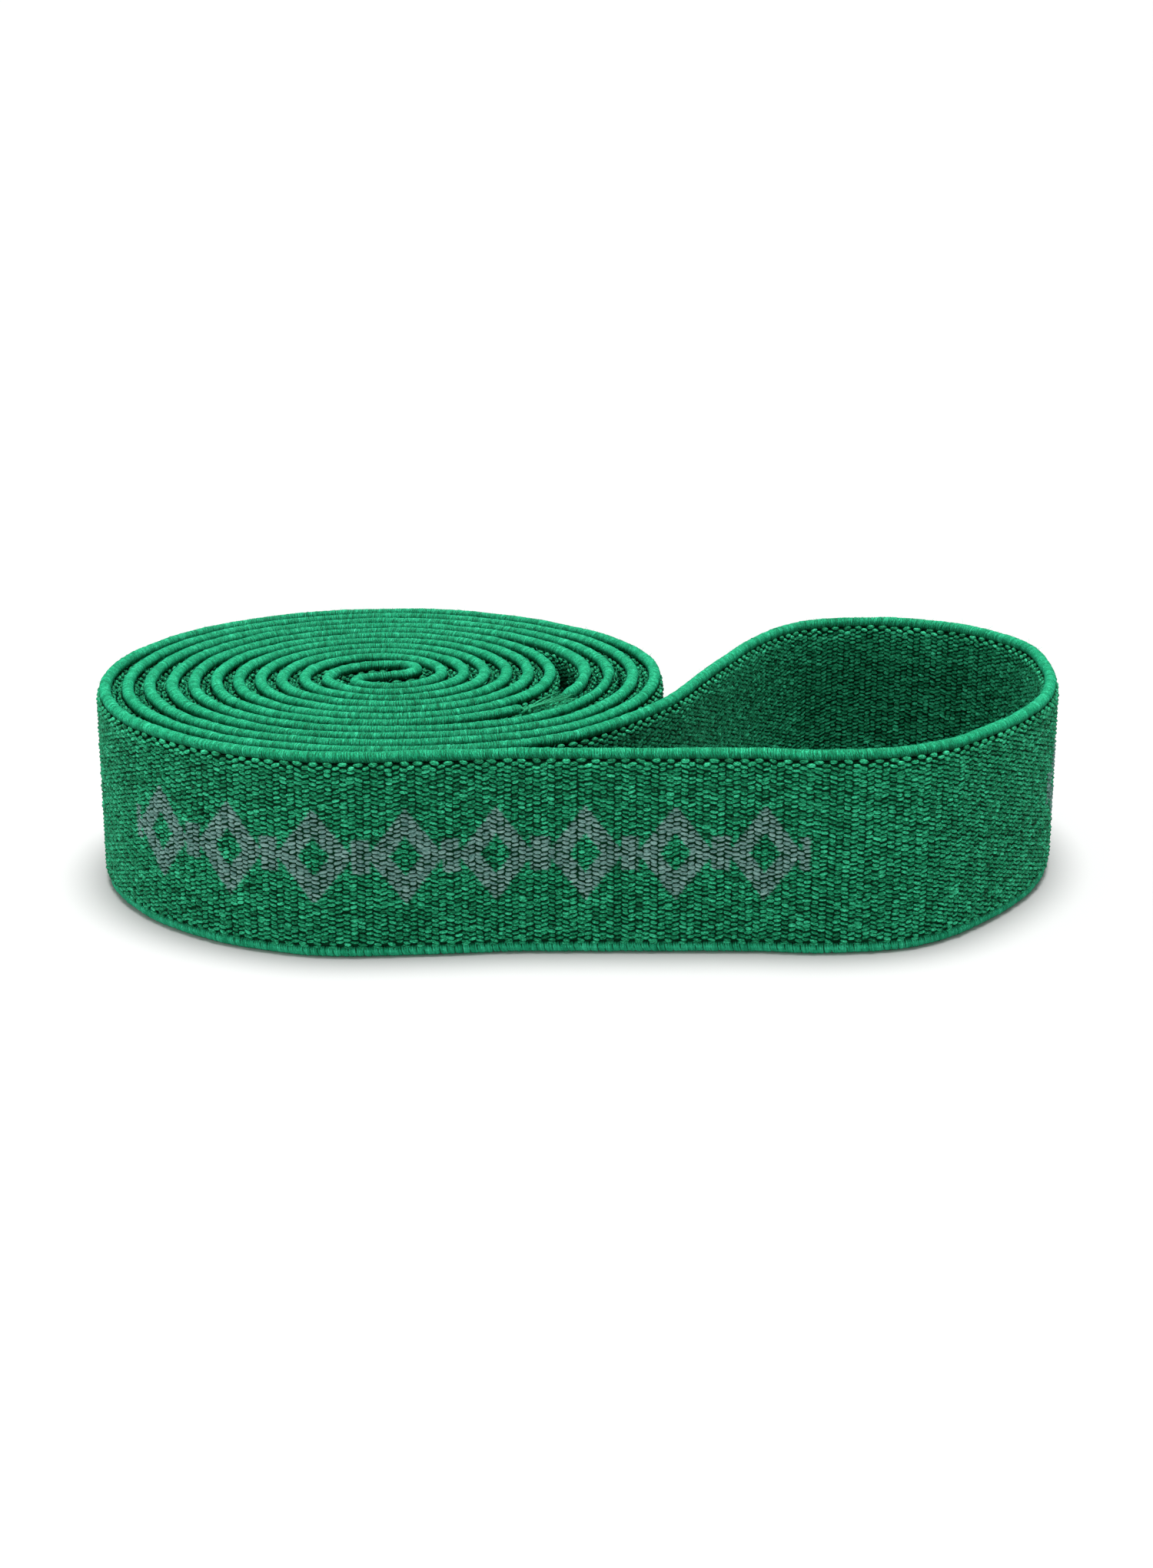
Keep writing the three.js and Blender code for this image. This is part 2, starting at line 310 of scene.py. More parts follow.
class Nodes:
    """A new node material, with short ways to add and join nodes."""

    def __init__(self, name):
        self.material = bpy.data.materials.new(name)
        self.material.use_nodes = True
        self.tree = self.material.node_tree
        self.shader = self.tree.nodes["Principled BSDF"]

    def add(self, kind, **settings):
        node = self.tree.nodes.new(kind)
        for key, value in settings.items():
            setattr(node, key, value)
        return node

    def join(self, source, target):
        self.tree.links.new(source, target)

    def attribute(self, name, output="Fac"):
        return self.add("ShaderNodeAttribute", attribute_name=name).outputs[output]

    def ramp(self, value, stops):
        node = self.add("ShaderNodeValToRGB")
        elements = node.color_ramp.elements
        for element, (position, colour) in zip(elements, (stops[0], stops[-1])):
            element.position, element.color = position, colour
        for position, colour in stops[1:-1]:
            elements.new(position).color = colour
        self.join(value, node.inputs["Fac"])
        return node.outputs["Color"]

    def maths(self, operation, *values):
        node = self.add("ShaderNodeMath", operation=operation)
        for socket, value in zip(node.inputs, values):
            if isinstance(value, (int, float)):
                socket.default_value = value
            else:
                self.join(value, socket)
        return node.outputs["Value"]

    def mix(self, share, first, second, blend="MIX"):
        node = self.add("ShaderNodeMix", data_type="RGBA", blend_type=blend)
        for place, value in ((MIX_SHARE, share), (MIX_FIRST, first), (MIX_SECOND, second)):
            if isinstance(value, (int, float, tuple)):
                node.inputs[place].default_value = value
            else:
                self.join(value, node.inputs[place])
        return node.outputs[MIX_RESULT]

    def noise(self, place, scale, detail=2.0, stretch=(1, 1, 1)):
        mapping = self.add("ShaderNodeMapping")
        mapping.inputs["Scale"].default_value = stretch
        self.join(place, mapping.inputs["Vector"])
        node = self.add("ShaderNodeTexNoise")
        node.inputs["Scale"].default_value = scale
        node.inputs["Detail"].default_value = detail
        self.join(mapping.outputs["Vector"], node.inputs["Vector"])
        return node.outputs["Fac"]

    def bump(self, height, distance, strength=1.0):
        node = self.add("ShaderNodeBump")
        node.inputs["Distance"].default_value = distance * MM
        node.inputs["Strength"].default_value = strength
        self.join(height, node.inputs["Height"])
        self.join(node.outputs["Normal"], self.shader.inputs["Normal"])


# Noise over a thread, in cells per millimetre: its fibres, drawn out along it, and its blotches
FIBRE_SCALE, FIBRE_DETAIL, FIBRE_STRETCH = 8.0, 3.0, (0.4, 1.0, 1.0)
BLOTCH_SCALE = 1.2
# Where an even thread comes on the ramp of its colours, and where the ramp has its body colour
EVEN_SPREAD, BODY_PLACE = 0.48, 0.45
# Painted shade: what the colour is multiplied by, from the deepest gap between threads up to a crest
PAINTED_GAP_SHADE = [
    (0.0, linear(0, 30, 18)),
    (0.28, linear(130, 170, 152)),
    (0.6, linear(255, 255, 255)),
]
YARN_SHEEN = linear(70, 225, 165)
FIBRE_BUMP = 0.12


def yarn(name, deep, body, light, streaks, patches, ink=None, sheen=0.08):
    """Texturised polyester yarn, in three colours, varied by its fibres (streaks) and in patches.

    The mesh says where it is with four attributes. strand is (along, across, which thread) in
    millimetres, the shade attribute is painted shade, 0 in the gaps between threads and 1 on their
    crests, tone is how light the thread was dyed, with painted light added on the inner face and the
    lower bead, and ink is 1 where it is printed.
    """
    n = Nodes(name)
    fibres = n.noise(n.attribute("strand", "Vector"), FIBRE_SCALE, FIBRE_DETAIL, FIBRE_STRETCH)
    blotches = n.noise(n.attribute("strand", "Vector"), BLOTCH_SCALE)
    streaked = n.maths("MULTIPLY_ADD", fibres, streaks, n.attribute("tone"))
    # Both noises average a half
    patched = n.maths("MULTIPLY_ADD", blotches, patches, EVEN_SPREAD - 0.5 * (streaks + patches))
    spread = n.maths("ADD", streaked, patched)
    colour = n.ramp(spread, [(0.0, deep), (BODY_PLACE, body), (1.0, light)])
    if ink:
        printed = n.ramp(spread, [(0.0, ink[0]), (1.0, ink[1])])
        colour = n.mix(n.attribute("ink"), colour, printed)
    # Painted shade: the colour darkens in the gaps between threads, on the floats' lower sides and
    # where a bead faces the weave
    painted_gap_colour = n.ramp(n.attribute("painted_shade"), PAINTED_GAP_SHADE)
    n.join(n.mix(1.0, colour, painted_gap_colour, "MULTIPLY"), n.shader.inputs["Base Color"])
    n.shader.inputs["Roughness"].default_value = 0.72
    n.shader.inputs["Specular IOR Level"].default_value = 0.12
    n.shader.inputs["Sheen Weight"].default_value = sheen
    n.shader.inputs["Sheen Roughness"].default_value = 0.45
    n.shader.inputs["Sheen Tint"].default_value = YARN_SHEEN
    n.bump(fibres, FIBRE_BUMP)
    return n.material


# Noise in cells per metre
WEFT_SCALE, WEFT_DETAIL, WEFT_STRETCH = 900.0, 2.0, (1, 1, 3)
# Near black: the weft's own colour with painted shade of the gaps between floats
WEFT_AND_GAP_SHADE_COLOURS = [(0.3, linear(0, 24, 11)), (0.8, linear(2, 56, 31))]
WEFT_BUMP = 0.1
TALC_SCALE = 400.0
TALC_COLOURS = [(0.3, linear(196, 184, 148)), (0.7, linear(226, 218, 190))]
TALC_BUMP = 0.03


def ground_material():
    """The weft threads lying across the strap between the floats, their colour darkened to near black
    with the shade of the gaps painted in.
    """
    n = Nodes("weave_ground")
    coordinates = n.add("ShaderNodeTexCoord").outputs["Object"]
    threads = n.noise(coordinates, WEFT_SCALE, WEFT_DETAIL, WEFT_STRETCH)
    n.join(n.ramp(threads, WEFT_AND_GAP_SHADE_COLOURS), n.shader.inputs["Base Color"])
    n.shader.inputs["Roughness"].default_value = 0.9
    n.shader.inputs["Specular IOR Level"].default_value = 0.05
    n.bump(threads, WEFT_BUMP)
    return n.material


def rubber_material():
    """Pale latex dusted with talc."""
    n = Nodes("latex_thread")
    coordinates = n.add("ShaderNodeTexCoord").outputs["Object"]
    talc = n.noise(coordinates, TALC_SCALE)
    n.join(n.ramp(talc, TALC_COLOURS), n.shader.inputs["Base Color"])
    n.shader.inputs["Roughness"].default_value = 0.6
    n.bump(talc, TALC_BUMP)
    return n.material


WEAVE = yarn(
    "weave_yarn", linear(0, 46, 25), linear(12, 122, 80), linear(66, 206, 154),
    streaks=1.9, patches=0.4, ink=(linear(52, 96, 88), linear(134, 170, 163)),
)
BEAD = yarn(
    "bead_yarn", linear(4, 96, 62), linear(13, 145, 100), linear(62, 208, 158),
    streaks=1.6, patches=0.2, sheen=0.1,
)
THREAD = yarn(
    "sewing_yarn", linear(12, 104, 68), linear(38, 156, 108), linear(84, 206, 158),
    streaks=1.6, patches=0.5,
)
GROUND = ground_material()
RUBBER = rubber_material()

# ---------------------------------------------------------------- plies and rubber


def paced_stations(turn_step, length_step):
    """Places along the strap, closer together where it turns more sharply."""
    heading = np.unwrap(np.arctan2(strap.ty, strap.tx))
    turning = np.abs(np.gradient(heading)) / math.radians(turn_step)
    progress = np.cumsum(turning + Strap.STEP / length_step)
    count = int(progress[-1])
    return np.interp(np.linspace(progress[0], progress[-1], count), progress, strap.s)


def sweep(stations, section):
    """Points and faces of a closed solid along the strap; section is [(offset, z)] round the path."""
    s = np.repeat(stations, len(section))
    offset, z = (np.tile([corner[k] for corner in section], len(stations)) for k in (0, 1))
    return strap.place(s, offset, z), tube_faces(len(stations), len(section))


GROUND_INSIDE, GROUND_OUTSIDE = 0.35, 1.0
GROUND_LOW, GROUND_HIGH = 1.7, 29.3
GROUND_NARROWING, GROUND_SHOULDER = 0.4, 0.5
GROUND_TURN_STEP, GROUND_LENGTH_STEP = 6, 2.0


def ground_ply(face, side):
    """The body of one face of the strap, narrower where it goes into the beads."""
    inside, outside = GROUND_INSIDE, GROUND_OUTSIDE
    edge = outside - GROUND_NARROWING
    low, high = GROUND_LOW, GROUND_HIGH
    half = [
        (inside, low), (edge, low), (outside, low + GROUND_SHOULDER),
        (outside, high - GROUND_SHOULDER), (edge, high), (inside, high),
    ]
    section = half if side > 0 else [(-offset, z) for offset, z in reversed(half)]
    points, faces = sweep(paced_stations(GROUND_TURN_STEP, GROUND_LENGTH_STEP), section)
    return piece(f"weave_ground_{face}", points, faces, GROUND, [f"face_ply_{face}"])


THREADS_EACH = 8
THREAD_HALF = 0.22
RUBBER_TURN_STEP, RUBBER_LENGTH_STEP = 25, 8.0
RUBBER_LEVELS = {"lower": (2.8, 10.93), "middle": (11.43, 19.57), "upper": (20.07, 28.2)}


def rubber_threads(level):
    """Square latex threads side by side between the plies."""
    low, high = RUBBER_LEVELS[level]
    stations = paced_stations(RUBBER_TURN_STEP, RUBBER_LENGTH_STEP)
    r = THREAD_HALF
    threads = []
    for z in np.linspace(low + r, high - r, THREADS_EACH):
        section = [(r, z - r), (r, z + r), (-r, z + r), (-r, z - r)]
        threads.append((*sweep(stations, section), {}))
    points, faces, _ = merged(threads)
    name = f"rubber_threads_{level}"
    return piece(f"{name}_set", points, faces, RUBBER, [name])


# ---------------------------------------------------------------- woven floats

COLUMN_PITCH = 1.06
ROW_PITCH = 0.675
ROWS = 40
LOWEST_ROW = 2.2
# The shape of a float, a lens with pointed ends: its section as (across, out), and that section's
# size at places along it
LENS_SECTION = [(-1, 0.0), (-0.62, 0.75), (0, 1.0), (0.62, 0.75), (1, 0.0)]
LENS_STATIONS = [(-0.55, 0.84), (0.0, 1.0), (0.55, 0.84)]
LENS_TIP = -0.1


def lens(stations, section):
    """A closed lens with pointed ends: (along, across, out) from -1 to 1, and its faces."""
    around = len(section)
    points = [(-1, 0, LENS_TIP)]
    for along, size in stations:
        points += [(along, across * size, out * size) for across, out in section]
    points.append((1, 0, LENS_TIP))
    quads = tube_faces(len(stations), around, closed_ends=False)[0] + 1
    i = np.arange(around)
    j = (i + 1) % around
    last = 1 + (len(stations) - 1) * around
    first_fan = np.stack([np.zeros_like(i), 1 + j, 1 + i], axis=-1)
    last_fan = np.stack([last + i, last + j, np.full_like(i, last + around)], axis=-1)
    return np.array(points, float), [quads, np.concatenate([first_fan, last_fan])]


LENS = lens(LENS_STATIONS, LENS_SECTION)
LUMPS = 0.14
# Painted shade: how much darker each float is drawn on its lower side than on its top
FLOAT_PAINTED_UNDERSIDE = 0.3
# Each thread gets a place of its own in the noise, up to this far away
NOISE_REACH = 50


def many(side, s, z, base, length, height, depth, tilt, tone, ink=None):
    """Points, faces and attributes of one float at every (s, z). side is the face of the strap."""
    points, faces = LENS
    along, across, out = points.T
    across, out = (v * rng.uniform(1 - LUMPS, 1 + LUMPS, (len(s), len(v))) for v in (across, out))
    s, z = np.asarray(s)[:, None], np.asarray(z)[:, None]
    length, height, depth, tilt, tone = (v[:, None] for v in (length, height, depth, tilt, tone))
    at_s = s + along * length / 2
    at_z = z + across * height / 2 + along * tilt * length / 2
    placed = strap.place(at_s, side * (base + out * depth), at_z)
    each = len(points)
    start = (np.arange(len(s)) * each)[:, None, None]
    faces = [((f if side > 0 else f[:, ::-1])[None] + start).reshape(-1, f.shape[1]) for f in faces]
    thread = np.broadcast_to(rng.uniform(0, NOISE_REACH, len(s))[:, None], at_s.shape)
    attributes = {
        "strand": np.stack([at_s, at_z, thread], axis=-1).reshape(-1, 3),
        # Painted shade, dark at the float's edges and darker on its lower side
        "painted_shade": np.clip(out + FLOAT_PAINTED_UNDERSIDE * across, 0, 1).ravel(),
        "tone": np.broadcast_to(tone, at_s.shape).ravel(),
        "ink": np.zeros(at_s.size) if ink is None else ink(at_s, at_z).ravel(),
    }
    return placed.reshape(-1, 3), faces, attributes


def merged(parts):
    """One set of points, faces and attributes from several."""
    points = np.concatenate([part[0] for part in parts])
    starts = np.cumsum([0] + [len(part[0]) for part in parts])
    faces = [face + start for (_, group, _), start in zip(parts, starts) for face in group]
    attributes = {key: np.concatenate([part[2][key] for part in parts]) for key in parts[0][2]}
    return points, faces, attributes


# Two stretches of the strap carry the ornament: on the front, and on the outside of the end loop
MARKS = [(658.0, 762.0), (502.0, 606.0)]
MARK_MIDDLE, MARK_HALF = 15.6, 7.2
MARK_PITCH = 104.0 / 8
# In shares of the pitch along the strap and of MARK_HALF up from the middle
DIAMOND_SLOPE, DIAMOND_HOLLOW = 2.35, 0.42
BAR_REACH, BAR_RISE = 0.1, 0.36


def mark_ink(s, z):
    """Where the strap is printed grey: a plain ornament of diamonds joined by short bars."""
    inked = np.zeros(s.shape)
    rise = np.abs(z - MARK_MIDDLE) / MARK_HALF
    for start, stop in MARKS:
        across = (s - start) % MARK_PITCH / MARK_PITCH
        from_centre = np.abs(across - 0.5) * DIAMOND_SLOPE + rise
        diamond = (from_centre < 1.0) & (from_centre >= DIAMOND_HOLLOW)
        bar = (np.minimum(across, 1 - across) < BAR_REACH) & (rise < BAR_RISE)
        inked = np.where((s > start) & (s < stop) & (diamond | bar), 1.0, inked)
    return inked


def weave_grid(first, last, rows):
    """Where the floats of a stretch lie: (column, s, row, z), every other column half a row higher."""
    columns = np.arange(math.ceil(first / COLUMN_PITCH), math.ceil(last / COLUMN_PITCH))
    column, row = (grid.ravel() for grid in np.meshgrid(columns, rows, indexing="ij"))
    z = LOWEST_ROW + ROW_PITCH * (row + 0.5 * (column % 2))
    return column, column * COLUMN_PITCH, row, z


def column_values(spread, seed):
    """A random value for each column of the strap, the same on both faces."""
    values = np.random.default_rng(seed).normal(0, spread, int(strap.length / COLUMN_PITCH) + 2)
    return lambda column: values[column]


# How far out the floats' feet lie where the strap shows, and on the turns inside the roll
FLOAT_BASE, CROWDED_BASE = 0.98, 1.2
# Means and spreads over the floats
FLOAT_LENGTH, FLOAT_HEIGHT, FLOAT_DEPTH = (1.46, 0.14), (0.65, 0.08), (0.42, 0.06)
PLACE_SPREAD, TILT_SPREAD, TONE_SPREAD = 0.05, 0.08, 0.11
ODD_TILT, EVEN_TILT = -0.14, 0.18
# Painted light: the inner face's floats are drawn lighter, making up for the dimmer light inside the
# end loop
INNER_FACE_PAINTED_LIGHT = 0.07
COLUMN_TONE = column_values(0.03, 11)
COLUMN_SHIFT = column_values(0.03, 12)
COLUMN_TILT = column_values(0.05, 13)


def floats(side, first, last, rows, base):
    """The weave's floats over some rows of one stretch of the strap."""
    column, s, row, z = weave_grid(first, last, rows)
    n = len(s)
    s = s + COLUMN_SHIFT(column) + rng.normal(0, PLACE_SPREAD, n)
    z = z + rng.normal(0, PLACE_SPREAD, n)
    tilt = np.where(column % 2, ODD_TILT, EVEN_TILT) + COLUMN_TILT(column)
    tilt = tilt + rng.normal(0, TILT_SPREAD, n)
    length = rng.normal(*FLOAT_LENGTH, n)
    height = rng.normal(*FLOAT_HEIGHT, n)
    depth = rng.normal(*FLOAT_DEPTH, n)
    tone = COLUMN_TONE(column) + rng.normal(0, TONE_SPREAD, n) + (0 if side > 0 else INNER_FACE_PAINTED_LIGHT)
    ink = mark_ink if side > 0 else None
    return many(side, s, z, base, length, height, depth, tilt, tone, ink)


# The larger floats next to a bead: z and height of each row of them, then means and spreads
TOP_SCALLOPS, BOTTOM_SCALLOPS = (29.36, 0.75), (1.75, 0.6)
SCALLOP_PITCH = 2 * COLUMN_PITCH
SCALLOP_LENGTH, SCALLOP_DEPTH, SCALLOP_TILT = (1.6, 0.12), (0.42, 0.04), (0.04, 0.08)
SCALLOP_TONE = (-0.04, 0.08)
SCALLOP_SHIFT, SCALLOP_LIFT, SCALLOP_HEIGHT_SPREAD = 0.07, 0.04, 0.05
SCALLOP_SINK = 0.12


def scallops(side, first, last, row, base):
    """The larger floats next to a bead, with a dark hole between each two."""
    z, height = row
    places = np.arange(math.ceil(first / SCALLOP_PITCH), math.ceil(last / SCALLOP_PITCH))
    n = len(places)
    s = places * SCALLOP_PITCH + rng.normal(0, SCALLOP_SHIFT, n)
    tone = rng.normal(*SCALLOP_TONE, n)
    z = z + rng.normal(0, SCALLOP_LIFT, n)
    length = rng.normal(*SCALLOP_LENGTH, n)
    height = rng.normal(height, SCALLOP_HEIGHT_SPREAD, n)
    depth = rng.normal(*SCALLOP_DEPTH, n)
    tilt = rng.normal(*SCALLOP_TILT, n)
    return many(side, s, z, base - SCALLOP_SINK, length, height, depth, tilt, tone)


def weave_piece(name, face, first, last, rows, base):
    """All the floats of one stretch of one face of the strap."""
    side = 1 if face == "outer" else -1
    points, faces, attributes = merged([
        floats(side, first, last, rows, base),
        scallops(side, first, last, TOP_SCALLOPS, base),
        scallops(side, first, last, BOTTOM_SCALLOPS, base),
    ])
    return piece(name, points, faces, WEAVE, [], attributes)


RAW_EDGE_TOP, RAW_EDGE_CROWN = 29.45, 0.25
RAW_EDGE_OFFSETS = (-1.15, -0.7, -0.25, 0.25, 0.7, 1.15)
RAW_EDGE_PITCH = 0.7
RAW_HALF_LENGTH, RAW_HALF_WIDTH, RAW_DEPTH = 0.75, 0.36, 0.4
RAW_PLACE_SPREAD, RAW_LEAN_SPREAD, RAW_LIFT_SPREAD, RAW_TONE_SPREAD = 0.12, 0.3, 0.06, 0.1


def raw_edge(name, first, last):
    """Floats lying over the top of the strap where its end has no bead."""
    points, faces = LENS
    along, across, out = points.T
    grids = np.meshgrid(np.arange(first, last, RAW_EDGE_PITCH), RAW_EDGE_OFFSETS)
    s, offset = (grid.ravel()[:, None] for grid in grids)
    n = len(s)
    s, offset = (v + rng.normal(0, RAW_PLACE_SPREAD, (n, 1)) for v in (s, offset))
    lean = rng.normal(0, RAW_LEAN_SPREAD, (n, 1))
    at_s = s + along * RAW_HALF_LENGTH
    at_offset = offset + across * RAW_HALF_WIDTH + along * lean
    top = RAW_EDGE_TOP - RAW_EDGE_CROWN * offset**2 + rng.normal(0, RAW_LIFT_SPREAD, (n, 1))
    placed = strap.place(at_s, at_offset, top + out * RAW_DEPTH)
    start = (np.arange(n) * len(points))[:, None, None]
    faces = [(f[:, ::-1][None] + start).reshape(-1, f.shape[1]) for f in faces]
    attributes = {
        "strand": np.stack([at_s, at_offset, np.broadcast_to(s, at_s.shape)], axis=-1).reshape(-1, 3),
        # Painted shade, dark at each float's edges
        "painted_shade": np.broadcast_to(np.clip(out, 0, 1), at_s.shape).ravel(),
        "tone": np.broadcast_to(rng.normal(0, RAW_TONE_SPREAD, (n, 1)), at_s.shape).ravel(),
    }
    return piece(name, placed.reshape(-1, 3), faces, WEAVE, [], attributes)


# ---------------------------------------------------------------- edge beads

BEAD_SIDES = 12
BEAD_HALF_WIDTH = 0.88
HEAD_THICKER, HEAD_THICK_LENGTH = 0.22, 30.0
HEAD_SHIFT, HEAD_SHIFT_LENGTH = 0.9, 12.0
END_ROUNDING, END_SMALLEST = 1.3, 0.12
# The spacing of the rings of points along the bead, and for each ring of a wrap, how far out it
# lies and how much painted light it gets, 0 painting the groove between wraps as shade
UPPER_WRAPS = (0.105, [(0.045, 1.0), (-0.1, 0.0)])
LOWER_WRAPS = (
    1.1 / 6,
    [(-0.18, 0.0), (0.04, 1.0), (-0.05, 0.35), (0.06, 1.0), (-0.05, 0.35), (0.03, 1.0)],
)
RING_SPREAD = 0.028
LEAST_LOOSE, MOST_LOOSE = 0.2, 1.7
WRAP_SLANT, SLANT_FACING = 0.2, math.pi / 4
LOOSE_WRAP_RISE = 0.12
BUNDLE_WIDTH = 0.4
BEAD_TONE_SPREAD = 0.09
# For the lower bead and the upper one: painted light, which draws the lower bead lighter all over than
# the upper one of the same yarn
BEAD_PAINTED_LIGHTS = (0.15, 0.0)
# For the lower bead and the upper one, painted shade on the side that faces the weave: how much at
# mid-height, and how fast it grows towards the weave
PAINTED_UNDERSIDE_STARTS, PAINTED_UNDERSIDE_GROWTH = (0.0, 0.3), 0.75
# Slow wanders along a bead: length between turns, size, and the seed for the lower bead
THICKNESS_WANDER = (3.0, 0.015, 21)
SIDEWAYS_WANDER = (4.0, 0.05, 31)
SLANT_WANDER = (2.0, 0.35, 41)
HEIGHT_WANDER = (5.0, 0.04, 51)
TONE_WANDER = (0.34, 0.09, 61)
LUMP_WANDER = (0.6, 0.025, 71)


def drift(s, wander, level):
    """A slow random wander along the strap, not the same on the lower bead (0) and the upper (1)."""
    reach, size, seed = wander
    knots = np.arange(-reach, strap.length + 2 * reach, reach)
    values = np.random.default_rng(seed + level).normal(0, size, len(knots))
    return np.interp(s, knots, values)


def bead_radius(s, level):
    """The bead's radius, before its wraps: thicker at the head end and rounded off at both ends."""
    radius = BEAD_RADIUS * (1 + drift(s, THICKNESS_WANDER, level) + drift(s, LUMP_WANDER, level))
    since_start, until_end = s - BEAD_START, BEAD_END - s
    radius = radius * (1 + HEAD_THICKER * np.exp(-since_start / HEAD_THICK_LENGTH))
    for distance in (since_start, until_end):
        from_full = 1 - np.clip(distance / END_ROUNDING, 0, 1)
        radius = radius * np.sqrt(np.clip(1 - from_full**2, END_SMALLEST, 1))
    return radius


def painted_bead_shadow(at_s, theta, level):
    """How much painted shadow a place on the bead gets from facing the weave, 0 to 1.

    The wraps draw together over each scallop, which leaves a hole under the bead between two; the
    painted shadow is deepest over those holes.
    """
    hole = 0.5 + 0.5 * np.cos(2 * math.pi * (at_s / SCALLOP_PITCH - 0.5))
    inward = np.sin(theta) if level else -np.sin(theta)
    facing = np.clip(PAINTED_UNDERSIDE_STARTS[level] - PAINTED_UNDERSIDE_GROWTH * inward, 0, 1)
    return facing[None, :] * (0.5 + 0.5 * hole)


def bead_part(name, level, number, first, last, wraps, middle):
    """One length of a bead, wrapped with yarn. level is 0 for the lower bead and 1 for the upper."""
    ring_pitch, pattern = wraps
    rings = np.arange(math.ceil(first / ring_pitch), math.floor(last / ring_pitch) + 2)
    out, light = np.array(pattern)[rings % len(pattern)].T
    n = len(rings)
    s = rings * ring_pitch + rng.normal(0, RING_SPREAD, n)
    theta = np.arange(BEAD_SIDES) * 2 * math.pi / BEAD_SIDES
    slant = WRAP_SLANT * np.cos(theta - SLANT_FACING)[None, :]
    at_s = s[:, None] + slant * (1 + drift(s, SLANT_WANDER, level))[:, None]
    looseness = rng.uniform(LEAST_LOOSE, MOST_LOOSE, (n, BEAD_SIDES))
    # Painted shade in the grooves between wraps, deeper where a wrap lies looser
    light = 1 - (1 - light[:, None]) * np.clip(looseness, 0, 1)
    radius = bead_radius(s, level)[:, None] + out[:, None] * looseness
    head_shift = HEAD_SHIFT * np.exp(-(s - BEAD_START) / HEAD_SHIFT_LENGTH)
    shift = drift(s, SIDEWAYS_WANDER, level) + head_shift
    at_offset = shift[:, None] + radius * BEAD_HALF_WIDTH / BEAD_RADIUS * np.cos(theta)
    # The lower bead is pressed flat by the surface it stands on
    highest = BEAD_RADIUS + LOOSE_WRAP_RISE if level else math.inf
    at_z = middle + np.clip(radius * np.sin(theta), -BEAD_RADIUS, highest)
    if level:
        at_z = at_z + drift(s, HEIGHT_WANDER, level)[:, None]
    # The first term is painted light on the lower bead; the wander and spread are the yarn's own tone
    tone = BEAD_PAINTED_LIGHTS[level] + drift(s, TONE_WANDER, level) + rng.normal(0, BEAD_TONE_SPREAD, n)
    round_it = BEAD_RADIUS * np.broadcast_to(theta, at_s.shape)
    attributes = {
        "strand": np.stack([round_it, at_s, at_s // BUNDLE_WIDTH], axis=-1).reshape(-1, 3),
        # Painted shade: the grooves between wraps, and the side of the bead that faces the weave
        "painted_shade": (light * (1 - painted_bead_shadow(at_s, theta, level))).ravel(),
        "tone": np.repeat(tone, BEAD_SIDES),
    }
    points = strap.place(at_s, at_offset, at_z).reshape(-1, 3)
    faces = tube_faces(n, BEAD_SIDES)
    node = f"edge_bead_{name}"
    return piece(f"{node}_{number}", points, faces, BEAD, [node], attributes)


BEAD_START = strap.at_angle("head", HEAD_BEAD_STARTS)
BEAD_END = strap.at_angle("tail", TAIL_BEAD_STOPS)
BEAD_PARTS = 3
UPPER_BEAD_MIDDLE, LOWER_BEAD_MIDDLE = STRAP_WIDTH - BEAD_RADIUS, BEAD_RADIUS


def beads():
    """Both beads, each in a few lengths from the head end to the tail end."""
    ends = np.linspace(BEAD_START, BEAD_END, BEAD_PARTS + 1)
    parts = []
    for number, (first, last) in enumerate(zip(ends, ends[1:]), 1):
        parts.append(bead_part("lower", 0, number, first, last, LOWER_WRAPS, LOWER_BEAD_MIDDLE))
        parts.append(bead_part("upper", 1, number, first, last, UPPER_WRAPS, UPPER_BEAD_MIDDLE))
    return parts


# ---------------------------------------------------------------- seam and loose threads

# Any direction that no thread runs along
ASKEW = (0.3, 0.5, 0.8)
THREAD_TONE_SPREAD = 0.08


def tube(path, radius, around=6):
    """Points, faces and attributes of a round thread along path, a line of points."""
    path = np.asarray(path, float)
    tangent = np.gradient(path, axis=0)
    tangent /= np.linalg.norm(tangent, axis=1)[:, None]
    side = np.cross(tangent[0], ASKEW)
    rings = []
    theta = np.arange(around) * 2 * math.pi / around
    radii = np.broadcast_to(radius, len(path))
    for point, t, r in zip(path, tangent, radii):
        side = side - t * side.dot(t)
        side /= np.linalg.norm(side)
        up = np.cross(t, side)
        rings.append(point + r * (np.cos(theta)[:, None] * side + np.sin(theta)[:, None] * up))
    along = np.concatenate([[0], np.cumsum(np.linalg.norm(np.diff(path, axis=0), axis=1))])
    count = len(path) * around
    across = np.tile(radii.mean() * theta, len(path))
    thread = np.full(count, rng.uniform(0, NOISE_REACH))
    attributes = {
        "strand": np.stack([np.repeat(along, around), across, thread], axis=-1),
        "painted_shade": np.ones(count),
        "tone": np.full(count, rng.normal(0, THREAD_TONE_SPREAD)),
    }
    return np.concatenate(rings), tube_faces(len(path), around), attributes


STITCH_TURNS = [1406, 1414, 1426, 1434]
STITCH_LOW, STITCH_HIGH = 3.1, 27.9
ZIGZAGS, ZIGZAG_REACH, STITCH_RADIUS = 10, 1.0, 0.16
STITCH_OFFSET, STITCH_DIP = 1.5, 0.35
STITCH_SAMPLES = 8


